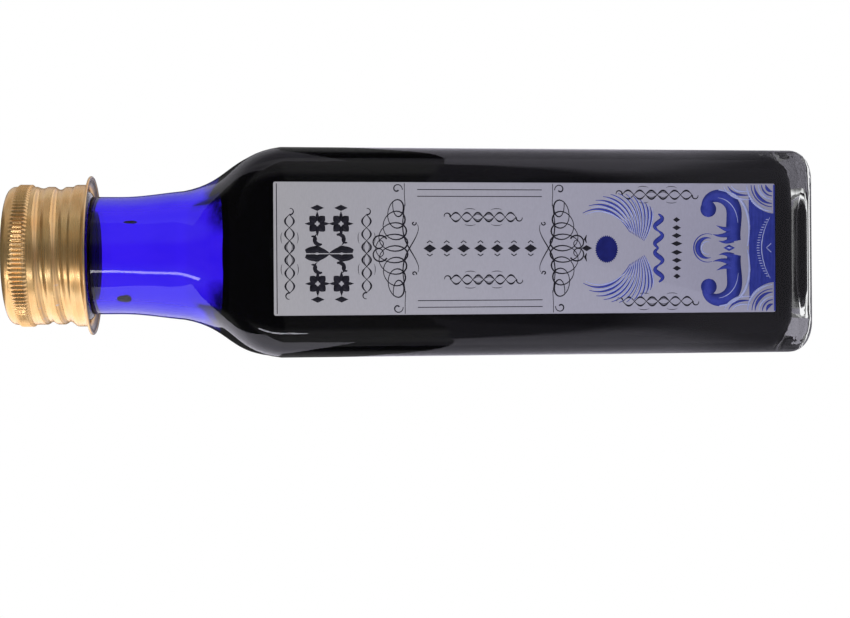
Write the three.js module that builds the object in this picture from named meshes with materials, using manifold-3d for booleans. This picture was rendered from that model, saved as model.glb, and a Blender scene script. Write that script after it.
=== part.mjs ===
// A 100 ml square glass ink bottle with a rolled-thread aluminium screw cap.
// Millimetres, +Z up. The origin is the middle of the base, where the bottle stands.
// The label faces -Y. A right-hand thread: the cap rises as it turns anticlockwise seen from above.
import * as THREE from "three";
import { mergeVertices } from "three/addons/utils/BufferGeometryUtils.js";
import Module from "manifold-3d";

const wasm = await Module();
wasm.setup();

// ---------------------------------------------------------------- driving sizes

// Glass body
const bodyWidth = 38.0; // across the flats, square
const bodyCorner = 6.0; // radius of the four upright edges
const heelRadius = 3.2; // where the walls turn under the base
const footWidth = 3.4; // flat ring that the bottle stands on
const puntDepth = 1.0; // hollow under the base
const baseThickness = 2.4; // glass between the punt and the ink
const bodyWall = 3.0;
const innerHeel = 4.0; // radius between the inside walls and floor
const leastCorner = 1.0; // smallest corner radius inside or under the glass
const wallTop = 98.5; // end of the straight walls, start of the shoulder
const shoulderHeight = 17.8; // straight walls to the root of the neck
const shoulderBelly = 0.55; // share of that height over which the shoulder stays full
const shoulderSweep = 0.25; // how gently it runs into the neck
const innerDrop = 1.2; // the inside shoulder sits lower than the outside one

// Neck and its finish, the part that takes the cap
const neckRadius = 10.95;
const neckWall = 2.55;
const neckFlare = 1.15; // how much wider the neck is at its root
const flareHeight = 11.7; // the neck narrows over this height above its root
const plainNeck = 5.1; // straight stretch above the flare, below the bead
const beadHeight = 2.3;
const beadStand = 1.2; // how far the bead stands out of the neck
const beadClearance = 1.1; // bead up to the end of the cap's rolled thread
const lipRound = 0.9;
const lipChamfer = 0.45; // inner edge of the lip

// Thread, the same helix on glass and cap
const threadPitch = 3.175; // eight threads to the inch
const threadTurns = 1.75;
const threadDepth = 1.25; // glass ridge, root to crest
const threadTop = 2.84; // from the lip down to the top end of the glass ridge
const threadStart = 30; // degrees from +X to that end
const threadRunOut = 60; // degrees over which a ridge grows to its full depth
const threadCrestHalf = 0.4; // half the width of a ridge's crest
const threadFoot = 1.1; // half its width where it is rooted
const threadBury = 0.5; // how deep the glass ridge is rooted in the neck

// Cap
const capSheet = 0.3; // aluminium sheet
const threadClearance = 0.3; // glass crest to the plain wall of the cap
const rolledDepth = 0.65; // how deep the thread is rolled into the cap
const rolledDrop = 1.3; // middle of the glass ridge down to the middle of the rolled one
const linerThickness = 1.4;
const sealGap = 0.05; // liner to lip
const linerGap = 0.1; // liner to the shell around and above it
const crownRound = 1.3;
const knurlDrop = 1.7; // crown to the top of the knurled band
const knurlHeight = 2.8;
const knurlStand = 0.4; // how far the ribs stand out of the wall
const knurlRoot = 0.12; // and the valleys between them
const knurlCount = 100;
const stepHeight = 1.0; // the wall widens into the skirt over this height
const skirtStep = 0.4; // how much wider the skirt is
const skirtRise = 0.25; // bead up to the top of the skirt
const rimHeight = 1.35;
const rimFlare = 1.6; // how far the rim flares out of the skirt
const rimDrop = 0.15; // bead down to the edge of the rim

// Ink
const fillRise = 8.7; // top of the straight walls up to the ink's surface
const inkGap = 0.3; // ink to glass

// Label
const labelMargin = 1.2; // start of the rounded corners to the label's side edges
const labelShift = 0.4; // stuck this far right of the middle
const labelBottom = 8.1; // table to the label's lower edge
const labelRise = 1.4; // top of the straight walls up to the label's upper edge
const labelThickness = 0.16;
const glueLayer = 0.02;

// Fineness of the meshes
const cornerSteps = 12; // points on each rounded corner of a cross-section
const shoulderSteps = 8;
const flareSteps = 4;
const roundSteps = 3; // sections around a small fillet
const latheSteps = 48;
const threadStepsPerTurn = 32;

// ---------------------------------------------------------------- sizes that follow

const bodyHalf = bodyWidth / 2;
const innerFloor = puntDepth + baseThickness;
const neckRoot = wallTop + shoulderHeight;
const neckRootRadius = neckRadius + neckFlare;
const boreRadius = neckRadius - neckWall;
const beadBottom = neckRoot + flareHeight + plainNeck;
const beadTop = beadBottom + beadHeight;
const threadHeight = threadTurns * threadPitch;
const lip = beadTop + beadClearance + threadHeight + rolledDrop + threadTop;

const capInner = neckRadius + threadDepth + threadClearance;
const capOuter = capInner + capSheet;
const linerBottom = lip + sealGap;
const capTop = linerBottom + linerThickness + linerGap + capSheet;
const skirtTop = beadTop + skirtRise;
const capBottom = beadBottom - rimDrop;

const fillLevel = wallTop + fillRise;
const labelWidth = bodyWidth - 2 * (bodyCorner + labelMargin);
const labelHeight = wallTop + labelRise - labelBottom;

// ---------------------------------------------------------------- helpers

const halfStep = Math.PI / 4 / cornerSteps;

// One cross-section: a square with rounded corners, `half` from its middle to each flat.
const section = (z, half, corner) => ({ z, half, corner });

// A round cross-section, written as a square whose corners meet.
const round = (z, radius) => section(z, radius * Math.cos(halfStep), radius);

// The points of a cross-section, anticlockwise. The flats are exactly `half` from the middle.
function ringPoints({ z, half, corner }) {
  const offset = half - corner * Math.cos(halfStep);
  const points = [];
  for (let quarter = 0; quarter < 4; quarter++) {
    const middle = Math.PI / 4 + (quarter * Math.PI) / 2;
    const cx = Math.sign(Math.cos(middle)) * offset;
    const cy = Math.sign(Math.sin(middle)) * offset;
    for (let i = 0; i < cornerSteps; i++) {
      const angle = (quarter * Math.PI) / 2 + (2 * i + 1) * halfStep;
      points.push([cx + corner * Math.cos(angle), cy + corner * Math.sin(angle), z]);
    }
  }
  return points;
}

// A closed geometry through cross-sections, from a point on the axis to a point on the axis.
function loft(firstZ, sections, lastZ) {
  const rings = sections.map(ringPoints);
  const n = rings[0].length;
  const positions = [[0, 0, firstZ], ...rings.flat(), [0, 0, lastZ]];
  const last = positions.length - 1;
  const index = [];
  for (let i = 0; i < n; i++) {
    const j = (i + 1) % n;
    index.push(0, 1 + j, 1 + i);
    for (let r = 0; r < rings.length - 1; r++) {
      const a = 1 + r * n;
      index.push(a + i, a + j, a + n + j, a + i, a + n + j, a + n + i);
    }
    index.push(last - n + i, last - n + j, last);
  }
  return geometryOf(positions.flat(), index);
}

function geometryOf(positions, index) {
  const geometry = new THREE.BufferGeometry();
  geometry.setAttribute("position", new THREE.Float32BufferAttribute(positions, 3));
  geometry.setIndex(index);
  return geometry;
}

// A closed geometry as a manifold-3d solid, for joining and cutting.
function solidOf(geometry) {
  const bare = geometry.clone();
  bare.deleteAttribute("normal");
  bare.deleteAttribute("uv");
  const merged = mergeVertices(bare, 1e-4);
  return new wasm.Manifold(
    new wasm.Mesh({
      numProp: 3,
      vertProperties: merged.attributes.position.array,
      triVerts: new Uint32Array(merged.index.array),
    }),
  );
}

function geometryFrom(solid) {
  const mesh = solid.getMesh();
  const geometry = geometryOf(Array.from(mesh.vertProperties), Array.from(mesh.triVerts));
  geometry.computeVertexNormals();
  return geometry;
}

// Points (across, up) on a cubic Bezier, without its first point.
function bezier(start, handle1, handle2, end, steps) {
  const curve = new THREE.CubicBezierCurve(
    ...[start, handle1, handle2, end].map(([x, y]) => new THREE.Vector2(x, y)),
  );
  return curve.getPoints(steps).slice(1);
}

// Points (radius, z) around a middle, from angle a0 to a1 in degrees.
function arc(cx, cz, radius, a0, a1, steps) {
  return Array.from({ length: steps + 1 }, (_, i) => {
    const a = THREE.MathUtils.degToRad(a0 + ((a1 - a0) * i) / steps);
    return [cx + radius * Math.cos(a), cz + radius * Math.sin(a)];
  });
}

// A helical ridge whose top end is centred at height `topZ`. `profile(size)` gives its section
// as [radius, height] points, and `size` grows from below 0 at each end to 1.
function helicalRidge(topZ, profile) {
  const steps = Math.round(threadTurns * threadStepsPerTurn);
  const runOut = (threadRunOut / 360) * threadStepsPerTurn;
  const buried = -0.25;
  const positions = [];
  let count = 0;
  for (let s = 0; s <= steps; s++) {
    const toEnd = Math.min(s, steps - s) / runOut;
    const size = Math.min(1, buried + (1 - buried) * toEnd);
    const turn = threadTurns * (s / steps - 1);
    const angle = THREE.MathUtils.degToRad(threadStart) + turn * 2 * Math.PI;
    const points = profile(size);
    count = points.length;
    for (const [radius, height] of points) {
      const z = topZ + turn * threadPitch + height;
      positions.push(radius * Math.cos(angle), radius * Math.sin(angle), z);
    }
  }
  const index = [];
  const lastRing = steps * count;
  for (let i = 0; i < count; i++) {
    const j = (i + 1) % count;
    for (let s = 0; s < steps; s++) {
      const a = s * count;
      index.push(a + i, a + count + j, a + j, a + i, a + count + i, a + count + j);
    }
    if (i > 1) {
      index.push(0, i - 1, i);
      index.push(lastRing, lastRing + i, lastRing + i - 1);
    }
  }
  return solidOf(geometryOf(positions, index));
}

// ---------------------------------------------------------------- outlines shared by glass and ink

// The shoulder from the body's walls to the neck's root, set in from the outside by `inset`
// and lowered by `drop`. The corners open out until the section is round.
function shoulder(inset, insetTop, drop) {
  const wide = bodyHalf - inset;
  const narrow = neckRootRadius - insetTop;
  const bottom = wallTop - drop;
  const top = neckRoot - drop;
  const curve = bezier(
    [wide, bottom],
    [wide, bottom + shoulderBelly * shoulderHeight],
    [THREE.MathUtils.lerp(narrow, wide, shoulderSweep), bottom + shoulderHeight / 2],
    [narrow, top],
    shoulderSteps,
  );
  const corner = Math.max(bodyCorner - inset, leastCorner);
  return curve.map((p, i) => {
    const t = (i + 1) / shoulderSteps;
    const roundHere = p.x / Math.cos(halfStep);
    return section(p.y, p.x, THREE.MathUtils.lerp(corner, roundHere, t));
  });
}

// The flare from the neck's root to its straight stretch.
function flare(inset, drop) {
  const root = neckRoot - drop;
  const third = flareHeight / 3;
  return bezier(
    [neckRootRadius - inset, root],
    [neckRootRadius - inset - neckFlare / 3, root + third],
    [neckRadius - inset, root + 2 * third],
    [neckRadius - inset, root + flareHeight],
    flareSteps,
  ).map((p) => round(p.y, p.x));
}

// The hollow inside the glass, from its floor up, kept `gap` away from the glass.
function hollow(gap) {
  const inset = bodyWall + gap;
  const half = bodyHalf - inset;
  const corner = Math.max(bodyCorner - inset, leastCorner);
  const floor = innerFloor + gap;
  const heel = arc(half - innerHeel, floor + innerHeel, innerHeel, 270, 360, roundSteps);
  return [
    ...heel.map(([x, z]) => section(z, x, Math.max((corner * x) / half, leastCorner))),
    section(wallTop - innerDrop, half, corner),
    ...shoulder(inset, neckWall + gap, innerDrop),
    ...flare(neckWall + gap, innerDrop),
  ];
}

// ---------------------------------------------------------------- glass bottle

function glassBottle() {
  const foot = bodyHalf - heelRadius;
  const footCorner = Math.max(bodyCorner - heelRadius, leastCorner);
  const heelCorner = (z) => THREE.MathUtils.lerp(footCorner, bodyCorner, z / heelRadius);
  const heel = arc(foot, heelRadius, heelRadius, 270, 360, roundSteps);
  const beadMiddle = beadBottom + beadHeight / 2;
  const bead = arc(0, 0, 1, -90, 90, 2 * roundSteps);
  const lipEdge = arc(neckRadius - lipRound, lip - lipRound, lipRound, 0, 90, roundSteps);

  const outside = [
    section(puntDepth, (foot - footWidth) / 2, footCorner),
    section(0, foot - footWidth, footCorner),
    ...heel.map(([x, z]) => section(z, x, heelCorner(z))),
    section(wallTop, bodyHalf, bodyCorner),
    ...shoulder(0, 0, 0),
    ...flare(0, 0),
    ...bead.map(([x, y]) => round(beadMiddle + (y * beadHeight) / 2, neckRadius + x * beadStand)),
    ...lipEdge.map(([r, z]) => round(z, r)),
  ];
  const inside = [
    round(lip, boreRadius + lipChamfer),
    round(lip - lipChamfer, boreRadius),
    ...hollow(0).reverse(),
  ];
  const blank = loft(puntDepth, [...outside, ...inside], innerFloor);
  const thread = helicalRidge(lip - threadTop, (size) => [
    [neckRadius - threadBury, -threadFoot],
    [neckRadius + threadDepth * size, -threadCrestHalf],
    [neckRadius + threadDepth * size, threadCrestHalf],
    [neckRadius - threadBury, threadFoot],
  ]);
  return geometryFrom(solidOf(blank).add(thread));
}

// ---------------------------------------------------------------- ink

function ink() {
  const sections = hollow(inkGap);
  const next = sections.findIndex((s) => s.z >= fillLevel);
  const [under, above] = [sections[next - 1], sections[next]];
  const t = (fillLevel - under.z) / (above.z - under.z);
  const mix = (key) => THREE.MathUtils.lerp(under[key], above[key], t);
  const surface = section(fillLevel, mix("half"), mix("corner"));
  return loft(innerFloor + inkGap, [...sections.slice(0, next), surface], fillLevel);
}

// ---------------------------------------------------------------- label

function label() {
  return new THREE.BoxGeometry(labelWidth, labelThickness, labelHeight);
}

// ---------------------------------------------------------------- cap

// Half of the cap's section as [radius, z] points, from the crown's middle to the rim's edge,
// `inset` inside the outer surface.
function capOutline(inset) {
  const wall = capOuter - inset;
  const skirt = wall + skirtStep;
  const edgeRound = crownRound - inset;
  const rimTop = capBottom + rimHeight;
  const rimDepth = rimHeight - capSheet + inset;
  const flared = arc(0, 0, 1, 180, 270, roundSteps);
  return [
    [0, capTop - inset],
    ...arc(wall - edgeRound, capTop - crownRound, edgeRound, 90, 0, roundSteps + 1),
    [wall, skirtTop + stepHeight],
    [skirt, skirtTop],
    ...flared.map(([x, y]) => [skirt + rimFlare * (1 + x), rimTop + rimDepth * y]),
  ];
}

// The knurled band: a ring with ribs, let halfway into the sheet.
function knurledBand() {
  const ribs = new THREE.Shape();
  for (let i = 0; i < 2 * knurlCount; i++) {
    const angle = (i * Math.PI) / knurlCount;
    const radius = capOuter + (i % 2 ? knurlStand : knurlRoot);
    const point = [radius * Math.cos(angle), radius * Math.sin(angle)];
    if (i) ribs.lineTo(...point);
    else ribs.moveTo(...point);
  }
  const hole = new THREE.Path();
  hole.absarc(0, 0, capOuter - capSheet / 2, 0, 2 * Math.PI, true);
  ribs.holes.push(hole);
  return new THREE.ExtrudeGeometry(ribs, {
    depth: knurlHeight,
    bevelEnabled: false,
    curveSegments: latheSteps,
  }).translate(0, 0, capTop - knurlDrop - knurlHeight);
}

function capShell() {
  const profile = [...capOutline(capSheet), ...capOutline(0).reverse()];
  const points = profile.map(([r, z]) => new THREE.Vector2(r, z));
  const shell = new THREE.LatheGeometry(points, latheSteps).rotateX(Math.PI / 2);

  // The rolled thread: a ridge inside the wall, and the groove that it leaves outside.
  const rolledTop = lip - threadTop - rolledDrop;
  const middle = capOuter - capSheet / 2;
  const ridge = helicalRidge(rolledTop, (size) => [
    [capInner - rolledDepth * size, -threadCrestHalf],
    [middle, -threadFoot],
    [middle, threadFoot],
    [capInner - rolledDepth * size, threadCrestHalf],
  ]);
  const groove = helicalRidge(rolledTop, (size) => [
    [capOuter - rolledDepth * size, -threadCrestHalf / 2],
    [capOuter + capSheet, -threadFoot],
    [capOuter + capSheet, threadFoot],
    [capOuter - rolledDepth * size, threadCrestHalf / 2],
  ]);
  return geometryFrom(solidOf(shell).add(solidOf(knurledBand())).add(ridge).subtract(groove));
}

// A disc that fills the crown, with its upper edge rounded like the shell's.
function capLiner() {
  const inset = capSheet + linerGap;
  const crown = capOutline(inset).slice(0, roundSteps + 3);
  const edge = capOuter - inset;
  const profile = [[0, linerBottom], [edge, linerBottom], ...crown.slice(1, -1).reverse(), crown[0]];
  const points = profile.map(([r, z]) => new THREE.Vector2(r, z));
  return new THREE.LatheGeometry(points, latheSteps).rotateX(Math.PI / 2);
}

// ---------------------------------------------------------------- materials

const finishes = {
  glass: new THREE.MeshStandardMaterial({
    color: 0xe9eef4,
    roughness: 0.04,
    metalness: 0,
    transparent: true,
    opacity: 0.35,
  }),
  ink: new THREE.MeshStandardMaterial({ color: 0x08071c, roughness: 0.08, metalness: 0 }),
  paper: new THREE.MeshStandardMaterial({ color: 0xa8a8b2, roughness: 0.45, metalness: 0 }),
  gold: new THREE.MeshStandardMaterial({ color: 0xd7a56a, roughness: 0.25, metalness: 1 }),
  foam: new THREE.MeshStandardMaterial({ color: 0xf2f2ee, roughness: 0.8, metalness: 0 }),
};

// ---------------------------------------------------------------- the bottle, put together

function piece(name, geometry, material, x = 0, y = 0, z = 0) {
  const mesh = new THREE.Mesh(geometry, material);
  mesh.name = name;
  mesh.position.set(x, y, z);
  return mesh;
}

const labelY = -(bodyHalf + glueLayer + labelThickness / 2);
const bottle = new THREE.Group();
bottle.add(
  piece("glass_bottle", glassBottle(), finishes.glass),
  piece("ink", ink(), finishes.ink),
  piece("front_label", label(), finishes.paper, labelShift, labelY, labelBottom + labelHeight / 2),
  piece("cap_liner", capLiner(), finishes.foam),
  piece("cap_shell", capShell(), finishes.gold),
);

export default bottle;
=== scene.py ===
# %% [markdown]
# # A square ink bottle with a gold screw cap
# The bottle is a tall square block of clear glass with a long round neck, filled with blue-black
# ink. A paper label is glued to its front, and a thin aluminium cap is screwed on the neck.
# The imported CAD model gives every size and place. This script rebuilds each piece around it with
# a finer surface and a real finish, in the same frame: metres, +Z up, the label facing -Y.

# %% Load the frame
import math
from collections import namedtuple

import bmesh
import bpy
from mathutils import Matrix, Vector


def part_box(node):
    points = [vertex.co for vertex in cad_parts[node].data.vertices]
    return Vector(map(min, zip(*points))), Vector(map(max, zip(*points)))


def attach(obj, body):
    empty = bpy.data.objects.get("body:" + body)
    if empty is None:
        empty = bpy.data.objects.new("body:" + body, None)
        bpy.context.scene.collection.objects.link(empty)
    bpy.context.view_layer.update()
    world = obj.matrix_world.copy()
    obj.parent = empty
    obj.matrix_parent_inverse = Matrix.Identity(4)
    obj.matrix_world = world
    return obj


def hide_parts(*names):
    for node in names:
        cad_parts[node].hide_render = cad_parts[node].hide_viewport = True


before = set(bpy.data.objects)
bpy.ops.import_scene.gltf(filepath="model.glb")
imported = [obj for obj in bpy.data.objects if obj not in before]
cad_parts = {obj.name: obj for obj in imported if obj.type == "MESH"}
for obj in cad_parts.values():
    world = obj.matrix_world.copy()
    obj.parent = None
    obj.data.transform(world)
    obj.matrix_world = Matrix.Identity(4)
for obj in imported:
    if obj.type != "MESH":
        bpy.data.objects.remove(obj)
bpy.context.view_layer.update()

MM = 0.001
glass_low, glass_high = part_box("glass_bottle")
ink_low, ink_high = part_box("ink")
label_low, label_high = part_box("front_label")
liner_low, liner_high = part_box("cap_liner")
cap_low, cap_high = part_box("cap_shell")

BODY_HALF = glass_high[0]
LIP = glass_high[2]
FILL_LEVEL = ink_high[2]
CAP_TOP = cap_high[2]
CAP_BOTTOM = cap_low[2]
RIM_RADIUS = cap_high[0]
print("body", round(2 * BODY_HALF / MM, 1), "mm wide, glass", round(glass_low[2] / MM, 2), "to",
      round(LIP / MM, 2), "mm")
print("ink up to", round(FILL_LEVEL / MM, 2), "mm, cap", round(CAP_BOTTOM / MM, 2), "to",
      round(CAP_TOP / MM, 2), "mm")

# %% [markdown]
# ## The camera
# A camera with no lens shift looks 7 degrees down at the bottle from 26 cm away. It is turned on
# its side, so that the bottle lies across the wide picture with its cap at the left. Its axes are
# written out as the columns of a matrix: right in the picture is down the bottle, and up in the
# picture is the bottle's right side.

# %% Camera
LOOK_DOWN = math.radians(7.0)
ROLL = math.radians(-0.42)
camera_data = bpy.data.cameras.new("camera")
camera_data.lens = 57.8
camera_data.sensor_width = 36.0
camera_data.clip_start = 0.01
camera = bpy.data.objects.new("camera", camera_data)
bpy.context.scene.collection.objects.link(camera)
right = Vector((0, -math.sin(LOOK_DOWN), -math.cos(LOOK_DOWN)))
up = Vector((1, 0, 0))
axes = Matrix((right, up, right.cross(up))).transposed()
camera_place = Vector((-10.4, -260.6, 102.8)) * MM
camera.matrix_world = Matrix.Translation(camera_place) @ axes.to_4x4() @ Matrix.Rotation(ROLL, 4, "Z")
bpy.context.scene.camera = camera
bpy.context.scene.view_settings.view_transform = "Standard"
print("camera at", [round(value, 4) for value in camera_place])

# %% [markdown]
# ## Small tools for modelling
# Operators act on what is selected, so each piece starts from nothing selected. `pick` selects
# verts, edges or faces by a test on their place or normal, which is what the eye and the mouse do
# by hand.

# %% Start and name a piece
def start_fresh():
    """Leave edit mode and deselect everything."""
    if bpy.context.mode != "OBJECT":
        bpy.ops.object.mode_set(mode="OBJECT")
    bpy.ops.object.select_all(action="DESELECT")


def begin_edit(name):
    """Name the primitive just added, put its place into its mesh, and edit it, all selected."""
    piece = bpy.context.object
    piece.name = name
    piece.data.name = name
    bpy.ops.object.transform_apply(location=True, rotation=True, scale=True)
    bpy.ops.object.mode_set(mode="EDIT")
    bpy.ops.mesh.select_mode(type="VERT")
    bpy.ops.mesh.select_all(action="SELECT")
    return piece


def edit_mesh():
    """The mesh that is being edited."""
    return bmesh.from_edit_mesh(bpy.context.object.data)


# %% Pick by place or normal
def pick(kind, test):
    """In edit mode, select only the VERT, EDGE or FACE parts that pass a test."""
    bpy.ops.mesh.select_mode(type=kind)
    bpy.ops.mesh.select_all(action="DESELECT")
    mesh = edit_mesh()
    mesh.normal_update()
    parts = {"VERT": mesh.verts, "EDGE": mesh.edges, "FACE": mesh.faces}[kind]
    chosen = [part for part in parts if test(part)]
    for part in chosen:
        part.select_set(True)
    mesh.select_flush_mode()
    bmesh.update_edit_mesh(bpy.context.object.data)
    return len(chosen)


def at_height(z):
    """A test for an edge whose two ends lie at height z."""
    return lambda edge: all(abs(vert.co.z - z) < 1e-6 for vert in edge.verts)


# %% Finish a piece
def show_only(piece):
    """Leave edit mode with only this piece selected and active."""
    start_fresh()
    piece.select_set(True)
    bpy.context.view_layer.objects.active = piece


def smooth(piece, angle=35):
    """Shade smooth, with an edge kept sharp where its faces meet at more than this angle."""
    show_only(piece)
    bpy.ops.object.shade_smooth_by_angle(angle=math.radians(angle))


def join(first, *others):
    """Join pieces into the first one."""
    show_only(first)
    for other in others:
        other.select_set(True)
    bpy.ops.object.join()
    return first


def apply_modifier(piece, kind, **settings):
    """Add a modifier with these settings and apply it."""
    show_only(piece)
    modifier = piece.modifiers.new(kind.lower(), kind)
    for key, value in settings.items():
        setattr(modifier, key, value)
    bpy.ops.object.modifier_apply(modifier=modifier.name)


def report(piece):
    """Print how many triangles a piece has and the box it fills, in millimetres."""
    mesh = piece.data
    mesh.calc_loop_triangles()
    corners = [vert.co for vert in mesh.vertices]
    low = [round(min(c[i] for c in corners) / MM, 2) for i in range(3)]
    high = [round(max(c[i] for c in corners) / MM, 2) for i in range(3)]
    print(piece.name, len(mesh.loop_triangles), "triangles", low, high)


# %% Curves as lists of points
def arc(across, height, radius, first, last, steps):
    """Points (across, height) on an arc about a middle, between two angles in degrees."""
    turns = [math.radians(first + (last - first) * i / steps) for i in range(steps + 1)]
    return [(across + radius * math.cos(a), height + radius * math.sin(a)) for a in turns]


def bezier(start, handle_1, handle_2, end, steps):
    """Points on a cubic Bezier curve, without its first point."""
    points = []
    for i in range(1, steps + 1):
        t = i / steps
        weights = ((1 - t) ** 3, 3 * t * (1 - t) ** 2, 3 * t * t * (1 - t), t ** 3)
        corners = (start, handle_1, handle_2, end)
        points.append(tuple(sum(w * c[k] for w, c in zip(weights, corners)) for k in range(2)))
    return points


def mix(a, b, t):
    """The value a share t of the way from a to b."""
    return a + (b - a) * t


def clamp(value, low=0.0, high=1.0):
    """The value, kept between low and high."""
    return max(low, min(high, value))


# %% [markdown]
# ## The glass blank
# A bottle is blown into a mould, so its outside is the mould's shape and its inside follows at
# about the wall's thickness. One could loft each skin from lists of points, but the skin is
# quicker to read as modelling by hand: a block with bevelled edges, opened at the top, whose open
# ring of edges is extruded upward, made rounder with To Sphere, and resized at each step.
# The same steps make the outside of the glass, its inside, and the ink that fills it.

# %% A square block with rounded edges
CORNER_STEPS = 10
FLAT_STEPS = 20
HEEL_STEPS = 7


def square_block(name, half, corner, heel, floor, top):
    """A block with rounded upright edges and heel, open at its top."""
    start_fresh()
    bpy.ops.mesh.primitive_cube_add(size=1, location=(0, 0, (floor + top) / 2),
                                    scale=(2 * half, 2 * half, top - floor))
    block = begin_edit(name)
    pick("EDGE", lambda edge: abs(edge.verts[0].co.z - edge.verts[1].co.z) > (top - floor) / 2)
    bpy.ops.mesh.bevel(offset=corner, segments=CORNER_STEPS, affect="EDGES")
    pick("EDGE", at_height(floor))
    bpy.ops.mesh.bevel(offset=heel, segments=HEEL_STEPS, affect="EDGES")
    pick("FACE", lambda face: face.normal.z > 0.9 and face.calc_center_median().z > top - MM)
    bpy.ops.mesh.delete(type="FACE")
    slice_flats(half, corner)
    return block


def slice_flats(half, corner):
    """Cut the flat sides into columns that will be evenly spaced once the neck is round."""
    widest = math.atan2(half - corner, half)
    for axis in (Vector((1, 0, 0)), Vector((0, 1, 0))):
        for i in range(1 - FLAT_STEPS // 2, FLAT_STEPS // 2):
            offset = half * math.tan(widest * i / (FLAT_STEPS / 2))
            bpy.ops.mesh.select_all(action="SELECT")
            bpy.ops.mesh.bisect(plane_co=offset * axis, plane_no=axis)


# %% Raising the open ring
RingSize = namedtuple("RingSize", "half diagonal mean z")


def ring_size():
    """Measure the selected ring: middle to flat, to corner, on average, and its height."""
    ring = [vert.co for vert in edit_mesh().verts if vert.select]
    radii = [co.xy.length for co in ring]
    return RingSize(max(co.x for co in ring), max(radii), sum(radii) / len(radii), ring[0].z)


def raise_ring(half, corner, z):
    """Extrude the selected ring to height z, to this half width and corner radius."""
    now = ring_size()
    bpy.ops.mesh.extrude_edges_move(TRANSFORM_OT_translate={"value": (0, 0, z - now.z)})
    wanted = ((half - corner) * math.sqrt(2) + corner) / half
    current = now.diagonal / now.half
    mean = now.mean / now.half
    if current - wanted > 1e-5:
        roundness = (current - wanted) / (current - mean + wanted * (mean - 1))
        bpy.ops.transform.tosphere(value=clamp(roundness))
    factor = half / ring_size().half
    bpy.ops.transform.resize(value=(factor, factor, 1), center_override=(0, 0, z))


def raise_round(points):
    """Raise the ring through round sections given as (radius, height)."""
    for radius, z in points:
        raise_ring(radius, radius, z)


# %% The shoulder and the neck's flare
BODY_CORNER = 6.0 * MM
BODY_WALL = 3.0 * MM
WALL_TOP = 98.5 * MM
SHOULDER_HEIGHT = 17.8 * MM
SHOULDER_BELLY = 0.55
SHOULDER_SWEEP = 0.25
NECK_RADIUS = 10.95 * MM
NECK_WALL = 2.55 * MM
NECK_FLARE = 1.15 * MM
FLARE_HEIGHT = 11.7 * MM
SHOULDER_STEPS = 16
FLARE_STEPS = 8


def raise_shoulder(inset, inset_top, drop, corner):
    """From the straight walls to the root of the neck, growing round on the way."""
    wide = BODY_HALF - inset
    narrow = NECK_RADIUS + NECK_FLARE - inset_top
    bottom = WALL_TOP - drop
    curve = bezier((wide, bottom), (wide, bottom + SHOULDER_BELLY * SHOULDER_HEIGHT),
                   (mix(narrow, wide, SHOULDER_SWEEP), bottom + SHOULDER_HEIGHT / 2),
                   (narrow, bottom + SHOULDER_HEIGHT), SHOULDER_STEPS)
    for i, (half, z) in enumerate(curve, 1):
        raise_ring(half, mix(corner, half, i / SHOULDER_STEPS), z)


def raise_flare(inset, drop):
    """From the root of the neck to its straight stretch."""
    root = WALL_TOP + SHOULDER_HEIGHT - drop
    wide = NECK_RADIUS + NECK_FLARE - inset
    narrow = NECK_RADIUS - inset
    raise_round(bezier((wide, root), (wide - NECK_FLARE / 3, root + FLARE_HEIGHT / 3),
                       (narrow, root + 2 * FLARE_HEIGHT / 3), (narrow, root + FLARE_HEIGHT),
                       FLARE_STEPS))


# %% [markdown]
# ## The screw thread
# The same right-hand helix is moulded on the glass and rolled into the cap. A helical sweep would
# have to be joined to the neck with a boolean, which leaves long thin faces that spoil the glass.
# Here the neck has close rings, a vertex group says how much each point belongs to the thread,
# and a Displace modifier pushes the points along their normals by that share, as a roller would.

# %% Press a helix into a round wall
THREAD_PITCH = 3.175 * MM
THREAD_TURNS = 1.75
THREAD_START = math.radians(30)
THREAD_RUN_OUT = 60 / 360
THREAD_DEPTH = 1.25 * MM
THREAD_TOP = LIP - 2.84 * MM


def helix_share(point, top, crest, foot):
    """How much a point belongs to the helix, 1 on its crest and 0 beyond its foot."""
    here = (math.atan2(point.y, point.x) - THREAD_START) / (2 * math.pi)
    best = 0.0
    for whole in range(-3, 2):
        turn = here + whole
        if -THREAD_TURNS <= turn <= 0:
            gap = abs(point.z - top - turn * THREAD_PITCH)
            flank = clamp((foot - gap) / (foot - crest))
            run_out = clamp(min(-turn, turn + THREAD_TURNS) / THREAD_RUN_OUT)
            best = max(best, flank * flank * (3 - 2 * flank) * run_out)
    return best


def press(piece, name, depth, share):
    """Displace each vertex along its normal by depth times its share."""
    show_only(piece)
    group = piece.vertex_groups.new(name=name)
    touched = 0
    for vert in piece.data.vertices:
        weight = share(vert.co)
        if weight > 0:
            group.add([vert.index], weight, "REPLACE")
            touched += 1
    apply_modifier(piece, "DISPLACE", direction="NORMAL", mid_level=0.0, strength=depth,
                   vertex_group=name)
    piece.vertex_groups.clear()
    print(piece.name, "pressed", name, "into", touched, "points")


# %% The hollow of the base
FOOT_WIDTH = 3.4 * MM
PUNT_DEPTH = 1.0 * MM


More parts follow.
